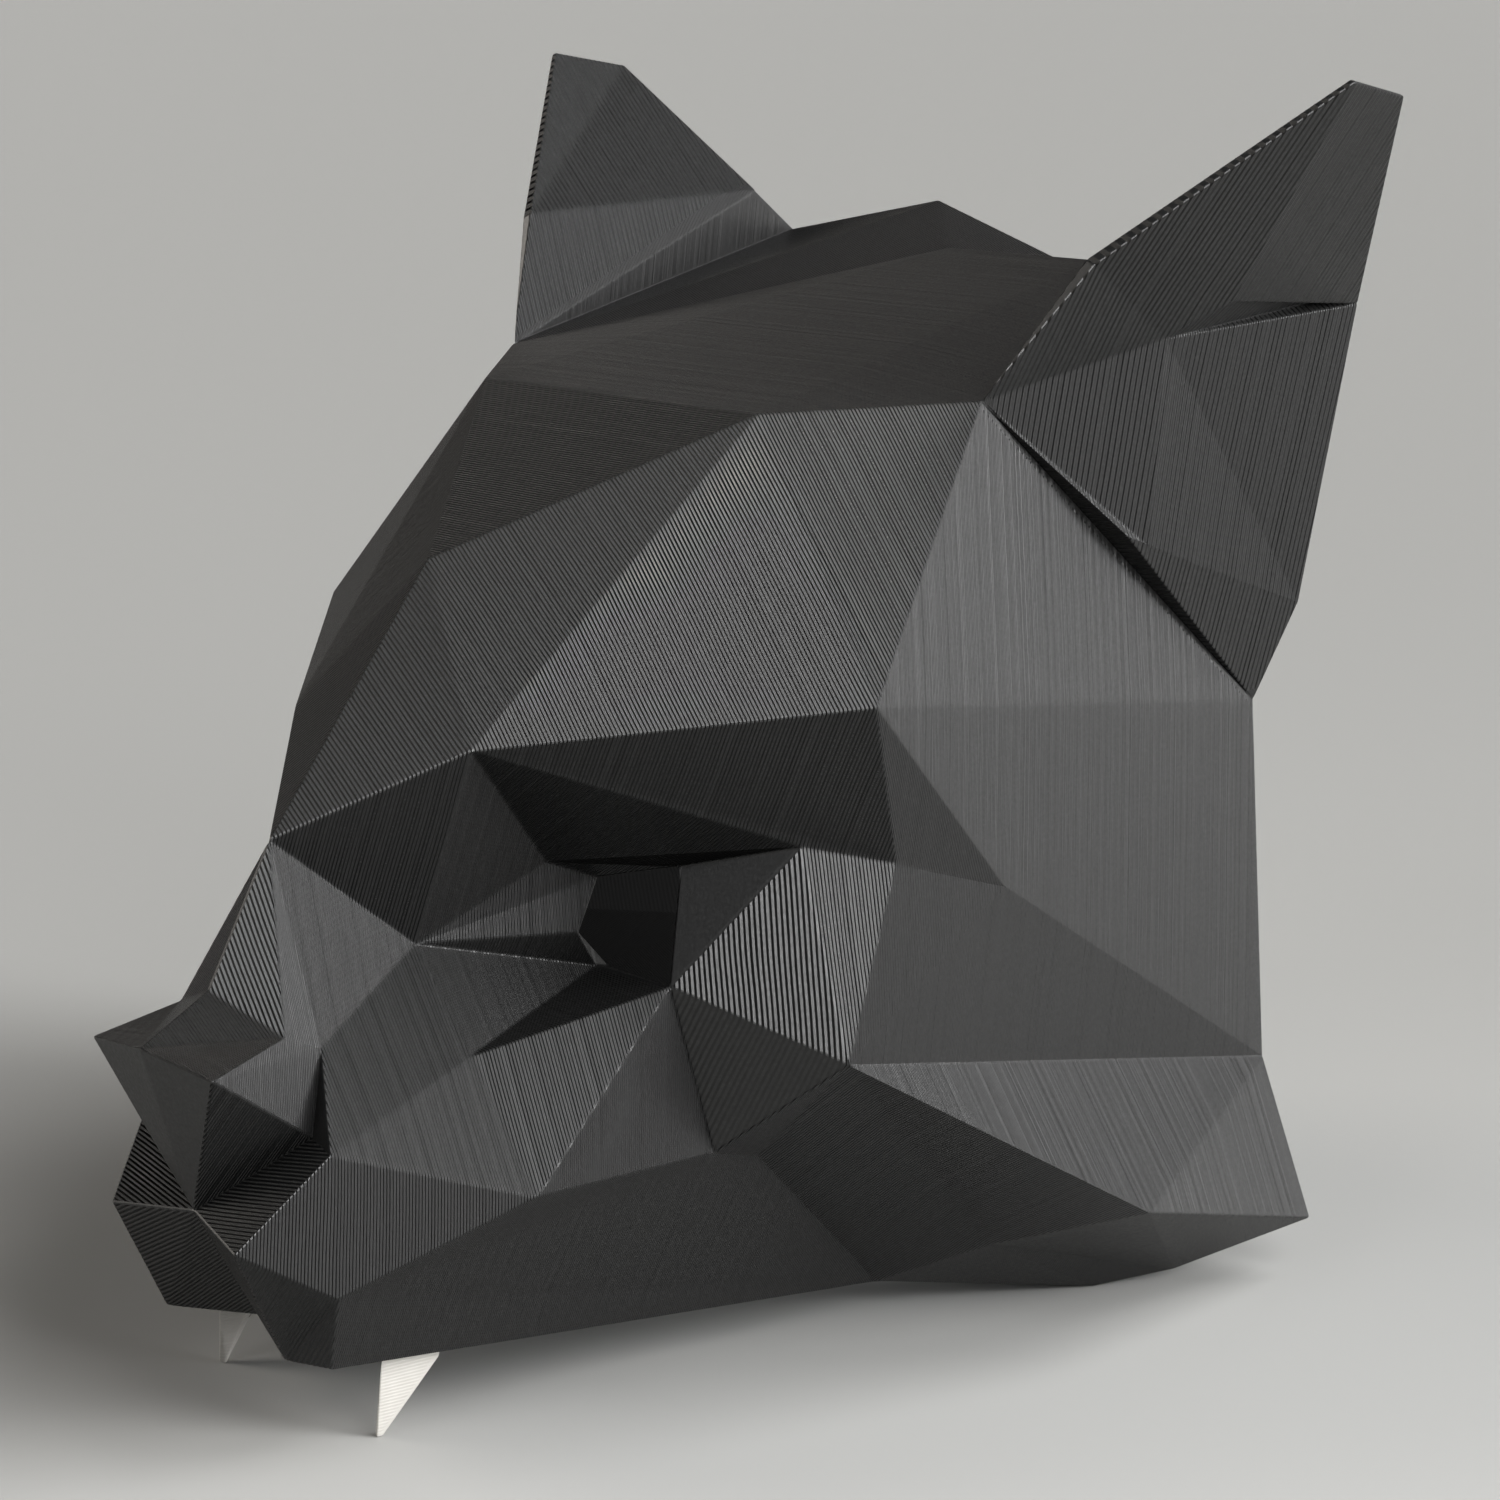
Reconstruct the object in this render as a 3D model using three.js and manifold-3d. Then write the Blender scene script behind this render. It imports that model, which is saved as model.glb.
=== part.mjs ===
// Low-poly cat mask: one printed shell, open at the back and below, with two ears and two white fangs.
// Sizes are in millimetres. The corner tables stand on the flat rear rim: "out" runs from the middle to the
// cat's left, "back" from the face to the rear rim and "up" to the crown. The far half is the mirror image.
import * as THREE from 'three';
import ModuleFactory from 'manifold-3d';

const WALL = 2.4;
const REAR = 74;
const EAR_RIM = 2.2;
const EAR_TIP_RIM = 1.2;
const EAR_FOOT_INSET = 0.8;
const FANG_GAP = 0.35;
const MIDDLE = 0;

const FOREHEAD = {
  bridgeTop: { out: MIDDLE, back: -115.5, up: -11.5 },
  foreheadMid: { out: MIDDLE, back: -84.5, up: 38 },
  browPeak: { out: 25.5, back: -92.5, up: 7.5 },
  browEnd: { out: 77, back: -46, up: 21.5 },
  crownMid: { out: MIDDLE, back: -42.5, up: 68.5 },
  crownSide: { out: 38, back: -42.5, up: 68.5 },
  crownRear: { out: 20, back: 65, up: 100.6 },
  crownBack: { out: MIDDLE, back: 65, up: 100.6 },
};

const EYE = {
  lidInner: { out: 24, back: -72, up: -13.5 },
  lidOuter: { out: 64, back: -48.5, up: -5 },
  holeTopInner: { out: 28.5, back: -63.5, up: -16 },
  holeTopOuter: { out: 42, back: -56, up: -12 },
  holeInner: { out: 28.5, back: -67, up: -26 },
  holeLow: { out: 28, back: -61.5, up: -32.5 },
  holeOuter: { out: 47, back: -61, up: -32.5 },
};

const NOSE = {
  noseRear: { out: MIDDLE, back: -126.5, up: -37.5 },
  noseTip: { out: MIDDLE, back: -140, up: -46.5 },
  noseWing: { out: 15.5, back: -121, up: -43 },
  noseCorner: { out: 18, back: -137.5, up: -48.5 },
  nostril: { out: 18.5, back: -116, up: -60.5 },
  bridgeSide: { out: 14, back: -92.5, up: -29 },
  bridgeFoot: { out: 15.5, back: -113, up: -45.5 },
};

const MUZZLE = {
  philtrum: { out: MIDDLE, back: -126.5, up: -77 },
  cleft: { out: MIDDLE, back: -110, up: -98.5 },
  lipTop: { out: 18.5, back: -131, up: -79.5 },
  lipFoot: { out: 18, back: -118, up: -100.5 },
  lipSide: { out: 29.5, back: -116.5, up: -86.5 },
  lipHeel: { out: 25.5, back: -114, up: -100.5 },
  whiskerPad: { out: 26.5, back: -118, up: -61.5 },
  muzzleTop: { out: 29.5, back: -90.5, up: -46 },
  muzzleSide: { out: 45.5, back: -87, up: -68 },
  mouthCorner: { out: 52.5, back: -52, up: -62.5 },
  mouthEnd: { out: 53.5, back: -42, up: -64 },
};

const CHEEK = {
  templeFold: { out: 75.5, back: -36, up: -6.5 },
  cheekTop: { out: 77.9, back: -10.1, up: -11.6 },
  cheekFront: { out: 77.5, back: -45.5, up: -41.5 },
  cheekTuft: { out: 97.5, back: 16.5, up: -71 },
  jawFold: { out: 68, back: 7.5, up: -83.5 },
  jawFront: { out: 47.5, back: -1.5, up: -95 },
  jawRear: { out: 66, back: 40.5, up: -97 },
  jawHeel: { out: 75, back: 54, up: -93 },
};

const REAR_RIM = {
  rimMid: { out: MIDDLE, back: 82, up: 99 },
  rimCrown: { out: 32.5, back: REAR, up: 110.5 },
  rimEar: { out: 76, back: REAR, up: 102 },
  rimTemple: { out: 68.8, back: 68.5, up: 18.3 },
  rimCheek: { out: 76, back: REAR, up: -52 },
  rimTuft: { out: 91.5, back: REAR, up: -81 },
};

const EAR = {
  earFront: { out: 65, back: -13.5, up: 74 },
  earBend: { out: 78.5, back: -2, up: 99.5 },
  earTip: { out: 108.5, back: 28, up: 135 },
  earTipRear: { out: 106, back: 46, up: 134 },
  earLobe: { out: 72.5, back: 21, up: 51 },
  earSide: { out: 81.5, back: 71.5, up: 96.5 },
  earHeel: { out: 73, back: REAR, up: 38 },
  cupTop: { out: 81.5, back: 33.5, up: 95 },
  cupFront: { out: 75, back: 23.5, up: 87.5 },
  cupRear: { out: 78, back: 61.5, up: 96 },
  cupFloor: { out: 72.5, back: 28, up: 48.5 },
  earBack: { out: 74, back: 59.5, up: 109.5 },
};

// One row for each fold of the skin on the cat's left half, by the names of its corners.
const SKIN = [
  ['bridgeTop', 'foreheadMid', 'browPeak'],
  ['foreheadMid', 'crownSide', 'browPeak'],
  ['foreheadMid', 'crownMid', 'crownSide'],
  ['crownMid', 'crownBack', 'crownRear', 'crownSide'],
  ['crownSide', 'crownRear', 'earFront'],
  ['earFront', 'crownRear', 'rimCrown', 'rimEar'],
  ['crownRear', 'rimMid', 'rimCrown'],
  ['crownBack', 'rimMid', 'crownRear'],
  ['crownSide', 'earFront', 'browEnd', 'browPeak'],
  ['earFront', 'rimTemple', 'browEnd'],
  ['earFront', 'rimEar', 'rimTemple'],
  ['browEnd', 'rimTemple', 'rimCheek', 'cheekTop'],
  ['cheekTop', 'rimCheek', 'cheekFront'],
  ['cheekFront', 'rimCheek', 'cheekTuft'],
  ['rimCheek', 'rimTuft', 'cheekTuft'],
  ['browEnd', 'cheekTop', 'templeFold'],
  ['templeFold', 'cheekTop', 'cheekFront'],
  ['lidOuter', 'templeFold', 'cheekFront'],
  ['lidOuter', 'cheekFront', 'holeOuter'],
  ['browPeak', 'browEnd', 'templeFold', 'lidOuter'],
  ['browPeak', 'lidOuter', 'lidInner'],
  ['lidInner', 'lidOuter', 'holeTopOuter', 'holeTopInner'],
  ['lidOuter', 'holeOuter', 'holeTopOuter'],
  ['bridgeTop', 'browPeak', 'bridgeSide'],
  ['bridgeSide', 'browPeak', 'lidInner', 'holeTopInner', 'holeInner'],
  ['bridgeTop', 'bridgeSide', 'bridgeFoot'],
  ['bridgeTop', 'bridgeFoot', 'noseWing'],
  ['bridgeTop', 'noseWing', 'noseRear'],
  ['noseTip', 'noseRear', 'noseWing', 'noseCorner'],
  ['noseCorner', 'noseWing', 'bridgeFoot', 'nostril'],
  ['noseTip', 'noseCorner', 'philtrum'],
  ['noseCorner', 'nostril', 'philtrum'],
  ['philtrum', 'nostril', 'whiskerPad', 'lipTop'],
  ['bridgeFoot', 'whiskerPad', 'nostril'],
  ['bridgeFoot', 'bridgeSide', 'muzzleTop', 'whiskerPad'],
  ['bridgeSide', 'holeInner', 'holeLow'],
  ['bridgeSide', 'holeLow', 'muzzleTop'],
  ['muzzleTop', 'holeLow', 'holeOuter'],
  ['muzzleTop', 'holeOuter', 'muzzleSide'],
  ['muzzleTop', 'muzzleSide', 'whiskerPad'],
  ['whiskerPad', 'muzzleSide', 'lipSide', 'lipTop'],
  ['lipTop', 'lipSide', 'lipFoot'],
  ['lipSide', 'lipHeel', 'lipFoot'],
  ['philtrum', 'lipTop', 'lipFoot'],
  ['philtrum', 'lipFoot', 'cleft'],
  ['lipSide', 'muzzleSide', 'mouthCorner', 'mouthEnd', 'jawFront', 'lipHeel'],
  ['holeOuter', 'mouthCorner', 'muzzleSide'],
  ['holeOuter', 'cheekFront', 'mouthCorner'],
  ['cheekFront', 'mouthEnd', 'mouthCorner'],
  ['cheekFront', 'jawFold', 'mouthEnd'],
  ['cheekFront', 'cheekTuft', 'jawFold'],
  ['mouthEnd', 'jawFold', 'jawFront'],
  ['jawFold', 'jawRear', 'jawFront'],
  ['jawFold', 'jawHeel', 'jawRear'],
  ['jawFold', 'cheekTuft', 'jawHeel'],
  ['cheekTuft', 'rimTuft', 'jawHeel'],
];

// One row for each face of an ear: the open cup, the rim, the outside and the foot let into the head.
const EAR_FACES = [
  ['cupFront', 'earFront', 'earBend'],
  ['cupTop', 'cupFront', 'earBend', 'earTip', 'earTipRear'],
  ['cupTop', 'cupRear', 'cupFront'],
  ['cupTop', 'earTipRear', 'earSide', 'cupRear'],
  ['cupFront', 'cupRear', 'earSide', 'earHeel', 'cupFloor'],
  ['earFront', 'cupFront', 'cupFloor', 'earLobe'],
  ['earLobe', 'cupFloor', 'earHeel', 'rimTemple'],
  ['earFront', 'earLobe', 'rimTemple'],
  ['earFront', 'earBendOuter', 'earBend'],
  ['earBend', 'earBendOuter', 'earTipOuter', 'earTip'],
  ['earTip', 'earTipOuter', 'earTipRearOuter', 'earTipRear'],
  ['earBendOuter', 'earBack', 'earTipRearOuter', 'earTipOuter'],
  ['earFront', 'rimEar', 'earBack', 'earBendOuter'],
  ['earBack', 'rimEar', 'earSide', 'earTipRear', 'earTipRearOuter'],
  ['rimEar', 'rimTemple', 'earHeel', 'earSide'],
  ['earFront', 'earFrontFoot', 'rimEarFoot', 'rimEar'],
  ['rimEar', 'rimEarFoot', 'rimTempleFoot', 'rimTemple'],
  ['rimTemple', 'rimTempleFoot', 'earFrontFoot', 'earFront'],
  ['earFrontFoot', 'rimTempleFoot', 'rimEarFoot'],
];

// Fang sections from the blunt tip to the hidden root: the lip row is where it leaves the lip.
const FANG = [
  { up: -115.5, front: -101.3, rear: -100, thick: 1.2, lean: 23.9 },
  { up: -101.5, front: -102, rear: -90.5, thick: 4, lean: null },
  { up: -92, front: -100.5, rear: -91.5, thick: 3.2, lean: null },
];

const wasm = await ModuleFactory();
wasm.setup();
const { Manifold, Mesh } = wasm;

const finish = (name, color, roughness) => {
  return new THREE.MeshStandardMaterial({ name, color, roughness, metalness: 0 });
};
const black = finish('black_pla', 0x1f1f1e, 0.62);
const white = finish('white_pla', 0xe4e2dc, 0.5);

const point = (corner) => new THREE.Vector3(corner.out, corner.back, corner.up);

function corners(...tables) {
  const named = new Map();
  for (const table of tables) {
    for (const [name, corner] of Object.entries(table)) {
      named.set(name, point(corner));
    }
  }
  return named;
}

function fan(face) {
  const triangles = [];
  for (let i = 1; i + 1 < face.length; i += 1) {
    triangles.push([face[0], face[i], face[i + 1]]);
  }
  return triangles;
}

// Turns the triangles so that each shared edge runs both ways and the closed body has a positive volume.
function faceOutward(triangles, at) {
  const edges = new Map();
  const key = (a, b) => `${a}|${b}`;
  triangles.forEach((triangle, i) => {
    for (let k = 0; k < 3; k += 1) {
      const pair = [triangle[k], triangle[(k + 1) % 3]].sort();
      const id = key(pair[0], pair[1]);
      edges.set(id, [...(edges.get(id) ?? []), i]);
    }
  });
  const turned = triangles.map((triangle) => [...triangle]);
  const done = new Set([0]);
  const queue = [0];
  while (queue.length > 0) {
    const current = queue.pop();
    for (let k = 0; k < 3; k += 1) {
      const a = turned[current][k];
      const b = turned[current][(k + 1) % 3];
      const pair = [a, b].sort();
      for (const other of edges.get(key(pair[0], pair[1]))) {
        if (!done.has(other)) {
          const j = turned[other].indexOf(a);
          if (turned[other][(j + 1) % 3] === b) {
            turned[other].reverse();
          }
          done.add(other);
          queue.push(other);
        }
      }
    }
  }
  let volume = 0;
  for (const [a, b, c] of turned) {
    volume += at.get(a).dot(new THREE.Vector3().crossVectors(at.get(b), at.get(c)));
  }
  return volume > 0 ? turned : turned.map(([a, b, c]) => [a, c, b]);
}

function solid(triangles, at) {
  const names = [...new Set(triangles.flat())];
  const index = new Map(names.map((name, i) => [name, i]));
  const vertProperties = new Float32Array(names.flatMap((name) => at.get(name).toArray()));
  const triVerts = new Uint32Array(faceOutward(triangles, at).flat().map((name) => index.get(name)));
  return new Manifold(new Mesh({ numProp: 3, vertProperties, triVerts }));
}

const mirrored = (name) => `${name}Right`;

// Both halves of the skin; corners on the middle plane are shared.
function wholeSkin(at) {
  const twin = (name) => (at.get(name).x === MIDDLE ? name : mirrored(name));
  for (const [name, p] of [...at]) {
    if (p.x !== MIDDLE) {
      at.set(mirrored(name), new THREE.Vector3(-p.x, p.y, p.z));
    }
  }
  const left = SKIN.flatMap(fan);
  const right = left.map((triangle) => triangle.map(twin).reverse());
  return [...left, ...right];
}

// Moves each corner in by one wall, measured square to the folds that meet there.
function innerCorners(triangles, at) {
  const normals = new Map();
  for (const [a, b, c] of triangles) {
    const n = new THREE.Triangle(at.get(a), at.get(b), at.get(c)).getNormal(new THREE.Vector3());
    for (const name of [a, b, c]) {
      normals.set(name, [...(normals.get(name) ?? []), n]);
    }
  }
  const inner = new Map();
  for (const [name, list] of normals) {
    const p = at.get(name);
    const free = new THREE.Vector3(p.x === MIDDLE ? 0 : 1, p.y === REAR ? 0 : 1, 1);
    const move = new THREE.Vector3();
    for (let round = 0; round < 200; round += 1) {
      for (const n of list) {
        const short = -WALL - n.dot(move);
        move.addScaledVector(n, 0.4 * short).multiply(free);
      }
    }
    move.clampLength(0, 2 * WALL);
    inner.set(name, p.clone().add(move));
  }
  return inner;
}

// Joins the outer and inner skins by a strip along each free edge: the rear and lower rim and the eye holes.
function shellSolid(skin, outer, inner) {
  const at = new Map(outer);
  const inside = (name) => `${name}Inside`;
  for (const [name, p] of inner) {
    at.set(inside(name), p);
  }
  const count = new Map();
  const key = (a, b) => [a, b].sort().join('|');
  const sides = skin.flatMap(([a, b, c]) => [[a, b], [b, c], [c, a]]);
  for (const [a, b] of sides) {
    count.set(key(a, b), (count.get(key(a, b)) ?? 0) + 1);
  }
  const rim = sides.filter(([a, b]) => count.get(key(a, b)) === 1);
  const strips = rim.flatMap(([a, b]) => fan([a, b, inside(b), inside(a)]));
  const lining = skin.map((triangle) => triangle.map(inside));
  return solid([...skin, ...lining, ...strips], at);
}

function earCorners(outer, inner) {
  const at = new Map(outer);
  const rims = { earBend: EAR_RIM, earTip: EAR_TIP_RIM, earTipRear: EAR_TIP_RIM };
  for (const [name, width] of Object.entries(rims)) {
    at.set(`${name}Outer`, outer.get(name).clone().add(new THREE.Vector3(-width, 0, 0.4 * width)));
  }
  for (const name of ['earFront', 'rimEar', 'rimTemple']) {
    const foot = outer.get(name).clone().lerp(inner.get(name), 0.5);
    foot.y -= EAR_FOOT_INSET;
    at.set(`${name}Foot`, foot);
  }
  return at;
}

// The fang stands just inside the lip panel; its outer side follows the panel's inside, a small gap away.
function fangCorners(inner) {
  const [a, b, c] = ['lipSide', 'jawFront', 'lipHeel'].map((name) => inner.get(name));
  const panel = new THREE.Plane().setFromCoplanarPoints(a, b, c);
  const inset = FANG_GAP / Math.abs(panel.normal.x);
  const { x, y, z } = panel.normal;
  const panelOut = (back, up) => -(y * back + z * up + panel.constant) / x;
  const at = new Map();
  FANG.forEach((row, i) => {
    const side = (back) => row.lean ?? panelOut(back, row.up) - inset;
    const depth = row.rear - row.front;
    const ridge = row.front + 0.5 * depth;
    const heelRidge = row.rear - 0.1 * depth;
    at.set(`frontOut${i}`, new THREE.Vector3(side(row.front), row.front, row.up));
    at.set(`rearOut${i}`, new THREE.Vector3(side(row.rear), row.rear, row.up));
    at.set(`rearIn${i}`, new THREE.Vector3(side(heelRidge) - 0.7 * row.thick, heelRidge, row.up));
    at.set(`frontIn${i}`, new THREE.Vector3(side(ridge) - row.thick, ridge, row.up));
  });
  return at;
}

function fangFaces() {
  const ring = ['frontOut', 'rearOut', 'rearIn', 'frontIn'];
  const last = FANG.length - 1;
  const faces = [ring.map((name) => `${name}0`), ring.map((name) => `${name}${last}`)];
  for (let i = 0; i < last; i += 1) {
    for (let k = 0; k < ring.length; k += 1) {
      const next = ring[(k + 1) % ring.length];
      faces.push([`${ring[k]}${i}`, `${next}${i}`, `${next}${i + 1}`, `${ring[k]}${i + 1}`]);
    }
  }
  return faces;
}

function acrossMiddle(at) {
  return new Map([...at].map(([name, p]) => [name, new THREE.Vector3(-p.x, p.y, p.z)]));
}

function mesh(name, body, material) {
  const data = body.getMesh();
  const geometry = new THREE.BufferGeometry();
  geometry.setAttribute('position', new THREE.BufferAttribute(Float32Array.from(data.vertProperties), 3));
  geometry.setIndex(new THREE.BufferAttribute(Uint32Array.from(data.triVerts), 1));
  const flat = geometry.toNonIndexed();
  flat.computeVertexNormals();
  const part = new THREE.Mesh(flat, material);
  part.name = name;
  return part;
}

const outer = corners(FOREHEAD, EYE, NOSE, MUZZLE, CHEEK, REAR_RIM, EAR);
const skin = faceOutward(wholeSkin(outer), outer);
const inner = innerCorners(skin, outer);
const earAt = earCorners(outer, inner);
const earShape = EAR_FACES.flatMap(fan);
const leftEar = solid(earShape, earAt);
const rightEar = solid(earShape, acrossMiddle(earAt));
const shell = shellSolid(skin, outer, inner).add(leftEar).add(rightEar);
const fangAt = fangCorners(inner);
const fangShape = fangFaces().flatMap(fan);

const mask = new THREE.Group();
mask.name = 'low_poly_cat_mask';
mask.add(mesh('mask_shell', shell, black));
mask.add(mesh('fang_left', solid(fangShape, fangAt), white));
mask.add(mesh('fang_right', solid(fangShape, acrossMiddle(fangAt)), white));

// The mask stands on its two fang tips and the two lowest corners of the jaw.
// The middle of its box is over the origin.
const toe = FANG[0];
const heel = CHEEK.jawRear;
mask.rotation.x = -Math.atan2(heel.up - toe.up, heel.back - toe.front);
mask.updateMatrixWorld(true);
const box = new THREE.Box3().setFromObject(mask, true);
mask.position.set(0, -(box.min.y + box.max.y) / 2, -box.min.z);

export default mask;
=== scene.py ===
"""Low-poly cat mask of printed black filament with two white fangs, dressed around its solids."""

import logging
import math
from dataclasses import dataclass, field
from enum import Enum, IntEnum
from typing import Any

import bpy
from mathutils import Matrix, Vector

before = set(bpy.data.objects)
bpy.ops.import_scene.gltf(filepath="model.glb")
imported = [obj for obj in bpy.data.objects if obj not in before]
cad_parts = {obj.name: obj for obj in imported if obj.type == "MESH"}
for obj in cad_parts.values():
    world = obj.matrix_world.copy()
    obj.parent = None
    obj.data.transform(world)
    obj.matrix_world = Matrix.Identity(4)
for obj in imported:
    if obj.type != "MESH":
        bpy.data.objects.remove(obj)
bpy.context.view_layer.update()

log = logging.getLogger("cat_mask")

Point = tuple[float, float, float]

MM = 0.001
FULL_TURN = 2 * math.pi
UP = Vector((0.0, 0.0, 1.0))
# The mask was printed with its rear rim on the bed. It stands tipped from that, on its fangs and on the
# rear edge of its jaw, which on the print lies this much higher and this far behind the fangs' points.
HEEL_RISE_MM = 18.5
HEEL_RUN_MM = 141.8
STANCE_TILT = math.atan2(HEEL_RISE_MM, HEEL_RUN_MM)
PRINT_AXIS = Vector((0.0, math.cos(STANCE_TILT), -math.sin(STANCE_TILT)))
# Corners of the solids closer than this are one corner, so that the rounds run through.
WELD_MM = 0.005
ROUND_SEGMENTS = 2


class Slot(Enum):
    """The two material slots by name."""

    BLACK = "black_pla"
    WHITE = "white_pla"


class Lamp(Enum):
    """The kinds of lamp in the studio."""

    SOFTBOX = "AREA"
    SKY_PANEL = "SUN"


class MixIn(IntEnum):
    """A mix node's inputs by number, because those of different types share their names."""

    FACTOR = 0
    FLOAT_A = 2
    FLOAT_B = 3
    VECTOR_A = 4
    VECTOR_B = 5
    COLOUR_A = 6
    COLOUR_B = 7


class MixOut(IntEnum):
    """A mix node's outputs by number."""

    FLOAT = 0
    VECTOR = 1
    COLOUR = 2


def linear(hex_colour: str) -> tuple[float, float, float, float]:
    """Turns an sRGB hex colour into linear light.

    Args:
        hex_colour: Six hex digits with a leading hash.

    Returns:
        Linear red, green, blue and an alpha of one.
    """
    parts = [int(hex_colour[i : i + 2], 16) / 255 for i in (1, 3, 5)]
    r, g, b = (v / 12.92 if v <= 0.04045 else ((v + 0.055) / 1.055) ** 2.4 for v in parts)
    return (r, g, b, 1.0)


def add(
    tree: bpy.types.NodeTree,
    kind: str,
    settings: dict[Any, Any],
    links: dict[Any, Any] | None = None,
) -> Any:
    """Adds one node with its settings and the links into it.

    Args:
        tree: The node tree to add to.
        kind: Blender's name of the node type.
        settings: Node attributes by name, and input values by socket number or by socket name.
        links: Output sockets by the number or name of the input that each goes to.

    Returns:
        The new node.
    """
    node = tree.nodes.new(kind)
    for key, value in settings.items():
        if isinstance(key, str) and hasattr(node, key):
            setattr(node, key, value)
        else:
            node.inputs[key].default_value = value
    for key, socket in (links or {}).items():
        tree.links.new(socket, node.inputs[key])
    return node


def new_material(name: str) -> tuple[bpy.types.Material, bpy.types.NodeTree]:
    """Makes an empty material.

    Args:
        name: What the real material is and how it was made.

    Returns:
        The material and its cleared node tree.
    """
    material = bpy.data.materials.new(name)
    material.use_nodes = True
    material.node_tree.nodes.clear()
    return material, material.node_tree


@dataclass(frozen=True)
class CutPlane:
    """A plane near an ear's root that parts one region of the shell from another."""

    outward: Point
    # How far beyond the ear's root the plane lies, along its outward direction.
    offset_mm: float


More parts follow.
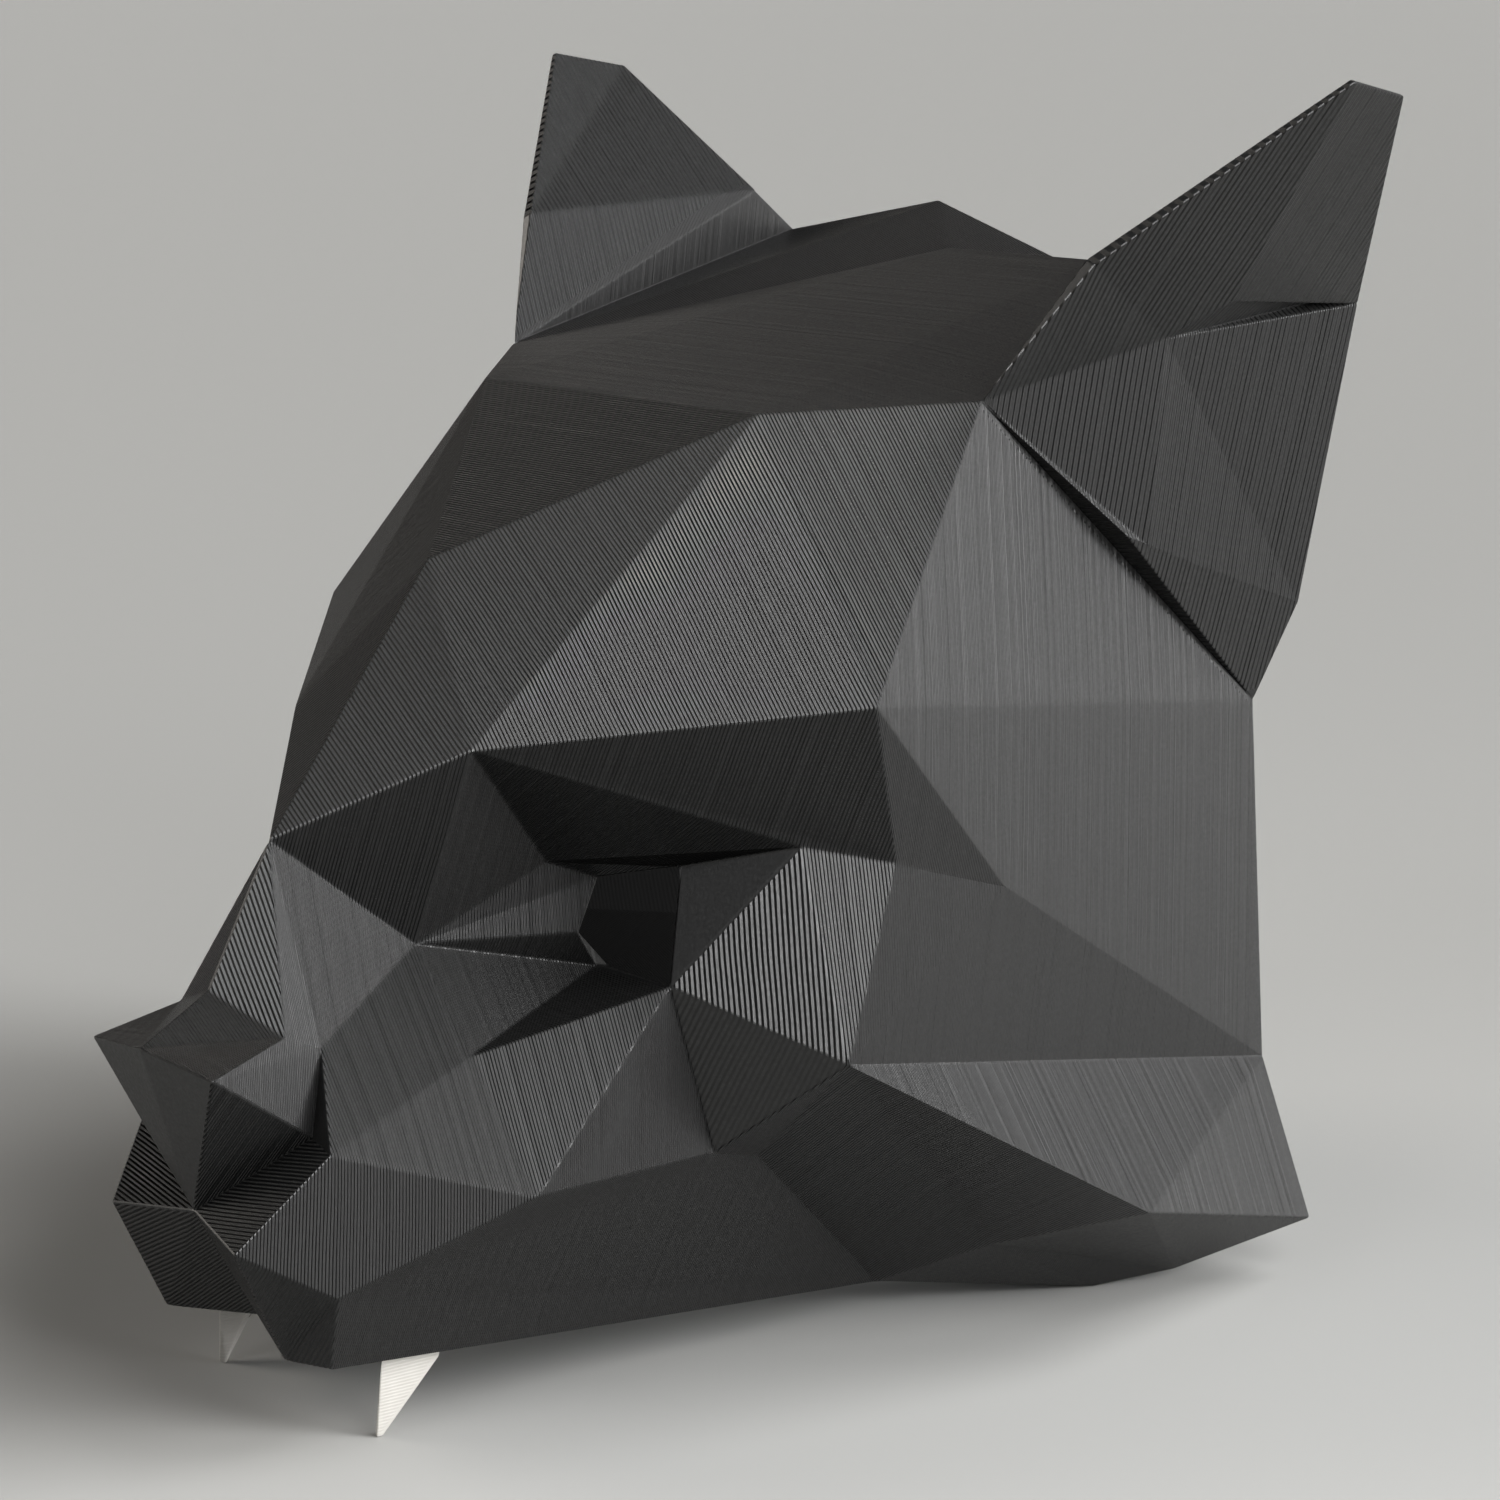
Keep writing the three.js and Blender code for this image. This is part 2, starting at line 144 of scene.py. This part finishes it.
@dataclass(frozen=True)
class PrintedBlackPla:
    """Black PLA laid down in layers: matt, with fine beads that turn to a hatch on leaning walls."""

    # Each bead's outer side stands square to the print bed. So to the eye a facet's grey follows the way
    # it turns about the print axis more than how far it leans, and the ridges between facets stay crisp.
    name: str = "black_pla_printed_in_layers"
    # The grain's colour runs from valley to plain to crest with its relief: partly random tone, partly
    # painted shade in the dips and painted highlight on the rises.
    crest_highlight_hex: str = "#212121"
    plain_hex: str = "#131313"
    valley_shade_hex: str = "#050505"
    roughness: float = 0.42
    roughness_swing: float = 0.07
    ior: float = 1.5
    # Real layers are 0.2 mm. On upright walls they are drawn twice as coarse, which gives a soft sheen.
    wall_layer_mm: float = 0.4
    # On leaning walls layers step out like stairs, drawn more than twice as coarse so that they show.
    stair_layer_mm: float = 0.48
    # On the ears they are drawn six times as coarse, as broad as the bands seen there.
    ear_layer_mm: float = 1.2
    # The normal's share along the print axis where walls turn from upright to leaning, and where the
    # stairs give way to a closed flat skin.
    lean_range: tuple[float, float] = (0.32, 0.36)
    skin_range: tuple[float, float] = (0.875, 0.905)
    # How far a bead's side turns up and down from the stair's riser, as a slope.
    bead_slope: float = 0.9
    # How much of a wall's lean the bead's outer side takes away: one stands it square to the print bed.
    upright_share: float = 0.97
    # A tread shows where the bead wave is under a level: its start, how much it rises with a wall's lean,
    # and half the width of the blend across it.
    tread_start: float = -1.5
    tread_rise: float = 0.95
    tread_blend: float = 0.25
    # Layers differ a little in width, in streaks of about this many millimetres.
    streak_mm: float = 1.1
    streak_slope: float = 0.5
    # The matt filament's grain, in truth finer than a tenth of a millimetre, drawn coarser so that it shows.
    speck_mm: float = 0.7
    speck_height_mm: float = 0.03
    speck_range: tuple[float, float] = (0.2, 0.8)
    grain_detail: float = 2.0
    grain_roughness: float = 0.7
    # Layers aren't quite flat: they shift by up to this much, over about this length.
    wander_shift_mm: float = 0.6
    wander_mm: float = 30.0
    wander_detail: float = 1.0
    # A point inside the head. Walls that face it are inner walls: left rough, with painted shade that
    # darkens their colour and dims their highlights.
    heart_mm: Point = (0.0, -20.0, 60.0)
    inner_shade_hex: str = "#060606"
    inner_roughness: float = 1.0
    # The highlights' tint: white, and grey on inner walls as painted shade.
    gloss_hex: str = "#ffffff"
    inner_shade_gloss_hex: str = "#707070"
    # Where an ear's front meets the head. An ear lies beyond the temple's plane and the lobe's plane, and
    # nothing beyond the crown's plane is an inner wall.
    ear_root_mm: Point = (65.0, 21.12, 176.72)
    temple_plane: CutPlane = CutPlane((0.9919, -0.1088, -0.0653), 0.3)
    lobe_plane: CutPlane = CutPlane((0.0, 0.6642, 0.7476), -1.2)
    crown_plane: CutPlane = CutPlane((0.1, -0.149, 0.9835), -1.0)

    def material(self) -> bpy.types.Material:
        """Builds the shader.

        Returns:
            The finished material.
        """
        material, tree = new_material(self.name)
        where = add(tree, "ShaderNodeTexCoord", {}).outputs["Object"]
        normal = add(tree, "ShaderNodeNewGeometry", {}).outputs["True Normal"]
        facing = add(
            tree, "ShaderNodeVectorMath", {"operation": "DOT_PRODUCT", 1: PRINT_AXIS}, {0: normal}
        ).outputs["Value"]
        slant = add(tree, "ShaderNodeMath", {"operation": "ABSOLUTE"}, {0: facing}).outputs[0]
        specks = add(
            tree,
            "ShaderNodeTexNoise",
            {
                "Scale": 1 / (self.speck_mm * MM),
                "Detail": self.grain_detail,
                "Roughness": self.grain_roughness,
            },
            {"Vector": where},
        ).outputs["Fac"]
        ears, inner = self.region_masks(tree, where, normal)
        beads, streaks = self.bead_waves(tree, where, slant, ears)
        skin_from, skin_to = self.skin_range
        skin = add(
            tree, "ShaderNodeMapRange", {"From Min": skin_from, "From Max": skin_to}, {"Value": slant}
        ).outputs[0]
        stairs = self.tread_mask(tree, beads, streaks, slant)
        treads = add(
            tree,
            "ShaderNodeMix",
            {"data_type": "FLOAT", MixIn.FLOAT_B: 0.0},
            {MixIn.FACTOR: skin, MixIn.FLOAT_A: stairs},
        ).outputs[MixOut.FLOAT]
        beaded = self.bead_normal(tree, normal, facing, beads, streaks, treads)
        turned = add(
            tree,
            "ShaderNodeMix",
            {"data_type": "VECTOR"},
            {MixIn.FACTOR: skin, MixIn.VECTOR_A: beaded, MixIn.VECTOR_B: normal},
        ).outputs[MixOut.VECTOR]
        relief = add(
            tree,
            "ShaderNodeBump",
            {"Strength": 1.0, "Distance": self.speck_height_mm * MM},
            {"Height": specks, "Normal": turned},
        ).outputs[0]
        colour = self.colour(tree, specks, treads, inner)
        rough, gloss = self.sheen(tree, specks, inner)
        shader = add(
            tree,
            "ShaderNodeBsdfPrincipled",
            {"IOR": self.ior},
            {"Base Color": colour, "Roughness": rough, "Specular Tint": gloss, "Normal": relief},
        )
        add(tree, "ShaderNodeOutputMaterial", {}, {0: shader.outputs[0]})
        return material

    def region_masks(self, tree: bpy.types.NodeTree, where: Any, normal: Any) -> tuple[Any, Any]:
        """Finds the ears by their place, and the inner walls, which face the middle of the head.

        Args:
            tree: The node tree to add to.
            where: The socket with the place in metres.
            normal: The socket with the wall's normal.

        Returns:
            A socket that is one on the ears, and a socket that is one on inner walls.
        """
        parts = add(tree, "ShaderNodeSeparateXYZ", {}, {0: where}).outputs
        wide = add(tree, "ShaderNodeMath", {"operation": "ABSOLUTE"}, {0: parts[0]}).outputs[0]
        half = add(
            tree, "ShaderNodeCombineXYZ", {}, {0: wide, 1: parts[1], 2: parts[2]}
        ).outputs[0]
        root = Vector(self.ear_root_mm) * MM
        offset = add(
            tree, "ShaderNodeVectorMath", {"operation": "SUBTRACT", 1: root}, {0: half}
        ).outputs[0]
        beyond = []
        for plane in (self.temple_plane, self.lobe_plane, self.crown_plane):
            height = add(
                tree,
                "ShaderNodeVectorMath",
                {"operation": "DOT_PRODUCT", 1: Vector(plane.outward)},
                {0: offset},
            ).outputs["Value"]
            beyond.append(
                add(
                    tree,
                    "ShaderNodeMath",
                    {"operation": "GREATER_THAN", 1: plane.offset_mm * MM},
                    {0: height},
                ).outputs[0]
            )
        past_temple, past_lobe, past_crown = beyond
        ears = add(
            tree, "ShaderNodeMath", {"operation": "MULTIPLY"}, {0: past_temple, 1: past_lobe}
        ).outputs[0]
        heart = Vector(self.heart_mm) * MM
        out = add(
            tree, "ShaderNodeVectorMath", {"operation": "SUBTRACT", 1: heart}, {0: where}
        ).outputs[0]
        away = add(
            tree, "ShaderNodeVectorMath", {"operation": "DOT_PRODUCT"}, {0: out, 1: normal}
        ).outputs["Value"]
        inner = add(tree, "ShaderNodeMath", {"operation": "LESS_THAN", 1: 0.0}, {0: away}).outputs[0]
        for outside in (ears, past_crown):
            inner = add(
                tree,
                "ShaderNodeMath",
                {"operation": "SUBTRACT", "use_clamp": True},
                {0: inner, 1: outside},
            ).outputs[0]
        return ears, inner

    def bead_waves(
        self, tree: bpy.types.NodeTree, where: Any, slant: Any, ears: Any
    ) -> tuple[Any, Any]:
        """Makes the wave that rises and falls once for each drawn layer, and the layers' streaks.

        Args:
            tree: The node tree to add to.
            where: The socket with the place in metres.
            slant: The socket with the wall's lean, from zero for upright to one.
            ears: The socket that is one on the ears.

        Returns:
            The wave's socket, from minus one to one, and the streaks' socket, from zero to one.
        """
        along = add(
            tree, "ShaderNodeVectorMath", {"operation": "DOT_PRODUCT", 1: PRINT_AXIS}, {0: where}
        ).outputs["Value"]
        wander = add(
            tree,
            "ShaderNodeTexNoise",
            {"Scale": 1 / (self.wander_mm * MM), "Detail": self.wander_detail},
            {"Vector": where},
        ).outputs["Fac"]
        phase = add(
            tree,
            "ShaderNodeMath",
            {"operation": "MULTIPLY_ADD", 1: self.wander_shift_mm * MM},
            {0: wander, 2: along},
        ).outputs[0]
        streaks = add(
            tree,
            "ShaderNodeTexNoise",
            {
                "noise_dimensions": "1D",
                "Scale": 1 / (self.streak_mm * MM),
                "Detail": self.grain_detail,
                "Roughness": self.grain_roughness,
            },
            {"W": phase},
        ).outputs["Fac"]
        waves = []
        for pitch in (self.wall_layer_mm, self.stair_layer_mm, self.ear_layer_mm):
            angle = add(
                tree,
                "ShaderNodeMath",
                {"operation": "MULTIPLY", 1: FULL_TURN / (pitch * MM)},
                {0: phase},
            ).outputs[0]
            waves.append(add(tree, "ShaderNodeMath", {"operation": "SINE"}, {0: angle}).outputs[0])
        wall_wave, stair_wave, ear_wave = waves
        lean_from, lean_to = self.lean_range
        lean = add(
            tree, "ShaderNodeMapRange", {"From Min": lean_from, "From Max": lean_to}, {"Value": slant}
        ).outputs[0]
        head_wave = add(
            tree,
            "ShaderNodeMix",
            {"data_type": "FLOAT"},
            {MixIn.FACTOR: lean, MixIn.FLOAT_A: wall_wave, MixIn.FLOAT_B: stair_wave},
        ).outputs[MixOut.FLOAT]
        beads = add(
            tree,
            "ShaderNodeMix",
            {"data_type": "FLOAT"},
            {MixIn.FACTOR: ears, MixIn.FLOAT_A: head_wave, MixIn.FLOAT_B: ear_wave},
        ).outputs[MixOut.FLOAT]
        return beads, streaks

    def tread_mask(self, tree: bpy.types.NodeTree, beads: Any, streaks: Any, slant: Any) -> Any:
        """Finds the grooves and the stairs' treads, which widen the more a wall leans and where shade is
        painted.

        Args:
            tree: The node tree to add to.
            beads: The socket with the bead wave.
            streaks: The socket with the layers' streaks.
            slant: The socket with the wall's lean.

        Returns:
            A socket that is one on a tread and zero on a bead's outer side.
        """
        uneven = add(
            tree, "ShaderNodeMath", {"operation": "ADD", 1: self.tread_start}, {0: streaks}
        ).outputs[0]
        level = add(
            tree,
            "ShaderNodeMath",
            {"operation": "MULTIPLY_ADD", 1: self.tread_rise},
            {0: slant, 2: uneven},
        ).outputs[0]
        above = add(
            tree, "ShaderNodeMath", {"operation": "SUBTRACT"}, {0: beads, 1: level}
        ).outputs[0]
        return add(
            tree,
            "ShaderNodeMapRange",
            {"From Min": self.tread_blend, "From Max": -self.tread_blend},
            {"Value": above},
        ).outputs[0]

    def bead_normal(
        self,
        tree: bpy.types.NodeTree,
        normal: Any,
        facing: Any,
        beads: Any,
        streaks: Any,
        treads: Any,
    ) -> Any:
        """Turns the normal square to the print axis on each bead, and along that axis on each tread.

        Args:
            tree: The node tree to add to.
            normal: The socket with the wall's normal.
            facing: The socket with the normal's share along the print axis.
            beads: The socket with the bead wave.
            streaks: The socket with the layers' streaks.
            treads: The socket that is one on a tread.

        Returns:
            A socket with the turned normal.
        """
        uneven = add(
            tree,
            "ShaderNodeMath",
            {"operation": "MULTIPLY_ADD", 1: self.streak_slope, 2: -self.streak_slope / 2},
            {0: streaks},
        ).outputs[0]
        rounded = add(
            tree,
            "ShaderNodeMath",
            {"operation": "MULTIPLY_ADD", 1: self.bead_slope},
            {0: beads, 2: uneven},
        ).outputs[0]
        turn = add(
            tree,
            "ShaderNodeMath",
            {"operation": "MULTIPLY_ADD", 1: -self.upright_share},
            {0: facing, 2: rounded},
        ).outputs[0]
        shift = add(
            tree, "ShaderNodeVectorMath", {"operation": "SCALE", 0: PRINT_AXIS}, {"Scale": turn}
        ).outputs[0]
        side = add(
            tree, "ShaderNodeVectorMath", {"operation": "ADD"}, {0: normal, 1: shift}
        ).outputs[0]
        bead = add(tree, "ShaderNodeVectorMath", {"operation": "NORMALIZE"}, {0: side}).outputs[0]
        way = add(tree, "ShaderNodeMath", {"operation": "SIGN"}, {0: facing}).outputs[0]
        tread = add(
            tree, "ShaderNodeVectorMath", {"operation": "SCALE", 0: PRINT_AXIS}, {"Scale": way}
        ).outputs[0]
        both = add(
            tree,
            "ShaderNodeMix",
            {"data_type": "VECTOR"},
            {MixIn.FACTOR: treads, MixIn.VECTOR_A: bead, MixIn.VECTOR_B: tread},
        ).outputs[MixOut.VECTOR]
        return add(tree, "ShaderNodeVectorMath", {"operation": "NORMALIZE"}, {0: both}).outputs[0]

    def colour(self, tree: bpy.types.NodeTree, specks: Any, treads: Any, inner: Any) -> Any:
        """Colours the grain, with painted shade in its dips and painted highlight on its rises, and paints
        shade into the grooves and onto the inner walls.

        Args:
            tree: The node tree to add to.
            specks: The socket with the grain.
            treads: The socket that is one on a tread.
            inner: The socket that is one on inner walls.

        Returns:
            A socket with the colour.
        """
        low, high = self.speck_range
        ramp = add(tree, "ShaderNodeValToRGB", {}, {0: specks})
        stops = ramp.color_ramp.elements
        stops[0].position = low
        stops[0].color = linear(self.valley_shade_hex)
        stops[1].position = high
        stops[1].color = linear(self.crest_highlight_hex)
        stops.new((low + high) / 2).color = linear(self.plain_hex)
        tone = ramp.outputs[0]
        # Painted shade: the treads and grooves take the valley colour, and the inner walls a darker one.
        for mask, shade_hex in ((treads, self.valley_shade_hex), (inner, self.inner_shade_hex)):
            tone = add(
                tree,
                "ShaderNodeMix",
                {"data_type": "RGBA", MixIn.COLOUR_B: linear(shade_hex)},
                {MixIn.FACTOR: mask, MixIn.COLOUR_A: tone},
            ).outputs[MixOut.COLOUR]
        return tone

    def sheen(self, tree: bpy.types.NodeTree, specks: Any, inner: Any) -> tuple[Any, Any]:
        """Lets the sheen vary with the grain, and makes the inner walls rough with their highlights dimmed
        as painted shade.

        Args:
            tree: The node tree to add to.
            specks: The socket with the grain.
            inner: The socket that is one on inner walls.

        Returns:
            A socket with the roughness and a socket with the tint of the highlights.
        """
        low, high = self.speck_range
        satin = add(
            tree,
            "ShaderNodeMapRange",
            {
                "From Min": low,
                "From Max": high,
                "To Min": self.roughness + self.roughness_swing,
                "To Max": self.roughness - self.roughness_swing,
            },
            {"Value": specks},
        ).outputs[0]
        rough = add(
            tree,
            "ShaderNodeMix",
            {"data_type": "FLOAT", MixIn.FLOAT_B: self.inner_roughness},
            {MixIn.FACTOR: inner, MixIn.FLOAT_A: satin},
        ).outputs[MixOut.FLOAT]
        # Painted shade: the inner walls' highlights are dimmed to grey.
        gloss = add(
            tree,
            "ShaderNodeMix",
            {
                "data_type": "RGBA",
                MixIn.COLOUR_A: linear(self.gloss_hex),
                MixIn.COLOUR_B: linear(self.inner_shade_gloss_hex),
            },
            {MixIn.FACTOR: inner},
        ).outputs[MixOut.COLOUR]
        return rough, gloss


@dataclass(frozen=True)
class PrintedWhitePla:
    """White PLA printed in layers: satin, a little warm, with faint level ridges."""

    # To the eye the fangs are the one light thing on the mask: soft highlights and hardly any shading.
    # The white is drawn greyer than it is, because the lamps that lift the black shell are strong.
    name: str = "white_pla_printed_in_layers"
    light_hex: str = "#b0aea9"
    shade_hex: str = "#9d9a94"
    roughness: float = 0.45
    roughness_swing: float = 0.06
    ior: float = 1.46
    # Real layers are 0.2 mm, drawn three times as coarse so that they show.
    layer_mm: float = 0.6
    ridge_mm: float = 0.02
    # The white clouds over by a shade, over about this length.
    cloud_mm: float = 4.0
    cloud_detail: float = 2.0

    def material(self) -> bpy.types.Material:
        """Builds the shader.

        Returns:
            The finished material.
        """
        material, tree = new_material(self.name)
        where = add(tree, "ShaderNodeTexCoord", {}).outputs["Object"]
        parts = add(tree, "ShaderNodeSeparateXYZ", {}, {0: where}).outputs
        angle = add(
            tree,
            "ShaderNodeMath",
            {"operation": "MULTIPLY", 1: FULL_TURN / (self.layer_mm * MM)},
            {0: parts[2]},
        ).outputs[0]
        layers = add(tree, "ShaderNodeMath", {"operation": "SINE"}, {0: angle}).outputs[0]
        clouds = add(
            tree,
            "ShaderNodeTexNoise",
            {"Scale": 1 / (self.cloud_mm * MM), "Detail": self.cloud_detail},
            {"Vector": where},
        ).outputs["Fac"]
        colour = add(
            tree,
            "ShaderNodeMix",
            {
                "data_type": "RGBA",
                MixIn.COLOUR_A: linear(self.light_hex),
                MixIn.COLOUR_B: linear(self.shade_hex),
            },
            {MixIn.FACTOR: clouds},
        ).outputs[MixOut.COLOUR]
        rough = add(
            tree,
            "ShaderNodeMapRange",
            {
                "To Min": self.roughness - self.roughness_swing,
                "To Max": self.roughness + self.roughness_swing,
            },
            {"Value": clouds},
        ).outputs[0]
        relief = add(
            tree,
            "ShaderNodeBump",
            {"Strength": 1.0, "Distance": self.ridge_mm * MM},
            {"Height": layers},
        ).outputs[0]
        shader = add(
            tree,
            "ShaderNodeBsdfPrincipled",
            {"IOR": self.ior},
            {"Base Color": colour, "Roughness": rough, "Normal": relief},
        )
        add(tree, "ShaderNodeOutputMaterial", {}, {0: shader.outputs[0]})
        return material


@dataclass(frozen=True)
class PalePaper:
    """A roll of pale matt paper laid flat under the mask."""

    # Matt paper gives no highlight, so the floor reads as one even pale tone.
    name: str = "pale_matt_paper"
    tint_hex: str = "#959593"
    roughness: float = 0.95

    def material(self) -> bpy.types.Material:
        """Builds the shader.

        Returns:
            The finished material.
        """
        material, tree = new_material(self.name)
        shader = add(
            tree,
            "ShaderNodeBsdfPrincipled",
            {"Base Color": linear(self.tint_hex), "Roughness": self.roughness},
        )
        add(tree, "ShaderNodeOutputMaterial", {}, {0: shader.outputs[0]})
        return material


def soften_edges(piece: bpy.types.Object, width_mm: float, limit_deg: float) -> None:
    """Rounds a solid's ridges by a hair so that they catch the light.

    Args:
        piece: The object to round.
        width_mm: How far the round reaches from the ridge.
        limit_deg: Folds flatter than this stay sharp.
    """
    weld = piece.modifiers.new("weld", "WELD")
    weld.merge_threshold = WELD_MM * MM
    bevel = piece.modifiers.new("ridge_round", "BEVEL")
    bevel.width = width_mm * MM
    bevel.segments = ROUND_SEGMENTS
    bevel.limit_method = "ANGLE"
    bevel.angle_limit = math.radians(limit_deg)
    bevel.use_clamp_overlap = True


@dataclass
class MaskShell:
    """The faceted shell: brow, sockets, muzzle, cheeks, crown and ears in one printed piece."""

    node: str = "mask_shell"
    round_mm: float = 0.35
    flat_limit_deg: float = 9.0
    finish: PrintedBlackPla = field(default_factory=PrintedBlackPla)

    def build(self) -> bpy.types.Object:
        """Takes the shell's solid and rounds its ridges.

        Returns:
            The shell's object.
        """
        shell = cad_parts[self.node]
        soften_edges(shell, self.round_mm, self.flat_limit_deg)
        return shell

    def dress(self, shell: bpy.types.Object) -> None:
        """Gives the shell its printed finish.

        Args:
            shell: The shell's object.
        """
        shell.data.materials.clear()
        shell.data.materials.append(self.finish.material())


@dataclass
class Fangs:
    """The two white fangs set behind the lips."""

    nodes: tuple[str, ...] = ("fang_left", "fang_right")
    round_mm: float = 0.3
    flat_limit_deg: float = 15.0
    finish: PrintedWhitePla = field(default_factory=PrintedWhitePla)

    def build(self) -> list[bpy.types.Object]:
        """Takes the fangs' solids and rounds their edges.

        Returns:
            The fangs' objects.
        """
        fangs = [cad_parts[name] for name in self.nodes]
        for fang in fangs:
            soften_edges(fang, self.round_mm, self.flat_limit_deg)
        return fangs

    def dress(self, fangs: list[bpy.types.Object]) -> None:
        """Gives both fangs one white finish.

        Args:
            fangs: The fangs' objects.
        """
        white = self.finish.material()
        for fang in fangs:
            fang.data.materials.clear()
            fang.data.materials.append(white)


@dataclass(frozen=True)
class Light:
    """One lamp, placed round the mask by direction."""

    name: str
    kind: Lamp
    azimuth_deg: float
    elevation_deg: float
    # Watts for a softbox, watts per square metre for a far panel.
    power: float
    # A softbox's side in metres, or the degrees over which a far panel spreads.
    spread: float
    tint_hex: str = "#ffffff"
    aim_m: Point = (0.0, 0.0, 0.11)
    distance_m: float = 3.0

    def build(self) -> bpy.types.Object:
        """Puts the lamp in place, facing its aim point.

        Returns:
            The lamp's object.
        """
        data = bpy.data.lights.new(self.name, self.kind.value)
        data.color = linear(self.tint_hex)[:3]
        data.energy = self.power
        if self.kind is Lamp.SOFTBOX:
            data.shape = "SQUARE"
            data.size = self.spread
        else:
            data.angle = math.radians(self.spread)
        lamp = bpy.data.objects.new(self.name, data)
        bpy.context.scene.collection.objects.link(lamp)
        azimuth = math.radians(self.azimuth_deg)
        elevation = math.radians(self.elevation_deg)
        back = Vector(
            (
                math.sin(azimuth) * math.cos(elevation),
                -math.cos(azimuth) * math.cos(elevation),
                math.sin(elevation),
            )
        )
        lamp.location = Vector(self.aim_m) + self.distance_m * back
        lamp.rotation_euler = back.to_track_quat("Z", "Y").to_euler()
        return lamp


@dataclass
class Studio:
    """A pale floor, soft lamps and a dim even room."""

    floor_half_m: float = 30.0
    room_hex: str = "#ffffff"
    room_strength: float = 0.02
    paper: PalePaper = field(default_factory=PalePaper)
    lights: tuple[Light, ...] = (
        Light("side_low", Lamp.SKY_PANEL, 120.0, 5.0, 3.3, 26.0),
        Light("side_mid", Lamp.SKY_PANEL, 120.0, 20.0, 2.4, 26.0),
        Light("back_high", Lamp.SKY_PANEL, 140.0, 50.0, 2.8, 34.0),
        Light("front_fill", Lamp.SKY_PANEL, 0.0, 30.0, 0.5, 26.0),
        Light("far_fill", Lamp.SKY_PANEL, -60.0, 25.0, 1.6, 26.0, tint_hex="#fff8ef"),
        Light(
            "muzzle_softbox",
            Lamp.SOFTBOX,
            90.0,
            35.0,
            3.0,
            0.3,
            aim_m=(0.03, -0.08, 0.07),
            distance_m=0.55,
        ),
    )

    def build(self) -> bpy.types.Object:
        """Lays the floor and hangs the lamps.

        Returns:
            The floor's object.
        """
        half = self.floor_half_m
        corners = [(-half, -half, 0), (half, -half, 0), (half, half, 0), (-half, half, 0)]
        mesh = bpy.data.meshes.new("floor")
        mesh.from_pydata(corners, [], [(0, 1, 2, 3)])
        floor = bpy.data.objects.new("floor", mesh)
        bpy.context.scene.collection.objects.link(floor)
        for light in self.lights:
            light.build()
        return floor

    def dress(self, floor: bpy.types.Object) -> None:
        """Gives the floor its paper and the room its dim light.

        Args:
            floor: The floor's object.
        """
        floor.data.materials.append(self.paper.material())
        world = bpy.data.worlds.new("room")
        world.use_nodes = True
        world.node_tree.nodes.clear()
        glow = add(
            world.node_tree,
            "ShaderNodeBackground",
            {"Color": linear(self.room_hex), "Strength": self.room_strength},
        )
        add(world.node_tree, "ShaderNodeOutputWorld", {}, {0: glow.outputs[0]})
        bpy.context.scene.world = world
        bpy.context.scene.view_settings.view_transform = "Standard"


@dataclass(frozen=True)
class PhotoCamera:
    """The camera at the photograph's viewing angle."""

    place_mm: Point = (500.73, -447.55, 263.74)
    aim_mm: Point = (0.0, 24.94, 101.59)
    roll_deg: float = -0.65
    lens_mm: float = 86.4
    sensor_mm: float = 36.0
    near_m: float = 0.01
    far_m: float = 200.0

    def build(self) -> bpy.types.Object:
        """Puts the camera in place and makes it the scene's camera.

        Returns:
            The camera's object.
        """
        data = bpy.data.cameras.new("photo_camera")
        data.sensor_fit = "HORIZONTAL"
        data.sensor_width = self.sensor_mm
        data.lens = self.lens_mm
        data.clip_start = self.near_m
        data.clip_end = self.far_m
        camera = bpy.data.objects.new("photo_camera", data)
        bpy.context.scene.collection.objects.link(camera)
        place = Vector(self.place_mm) * MM
        back = (place - Vector(self.aim_mm) * MM).normalized()
        right = UP.cross(back).normalized()
        up = back.cross(right)
        roll = math.radians(self.roll_deg)
        across = math.cos(roll) * right + math.sin(roll) * up
        turn = Matrix((across, back.cross(across), back)).transposed().to_4x4()
        camera.matrix_world = Matrix.Translation(place) @ turn
        bpy.context.scene.camera = camera
        return camera


def main() -> None:
    """Builds and dresses every piece in order."""
    logging.basicConfig(level=logging.INFO, format="%(name)s: %(message)s")
    shell_maker = MaskShell()
    shell = shell_maker.build()
    shell_maker.dress(shell)
    log.info("shell %s", shell.name)
    fang_maker = Fangs()
    fangs = fang_maker.build()
    fang_maker.dress(fangs)
    log.info("fangs %s", ", ".join(fang.name for fang in fangs))
    studio = Studio()
    floor = studio.build()
    studio.dress(floor)
    log.info("floor and %d lamps", len(studio.lights))
    camera = PhotoCamera().build()
    log.info("camera %s", camera.name)


if __name__ == "__main__":
    main()
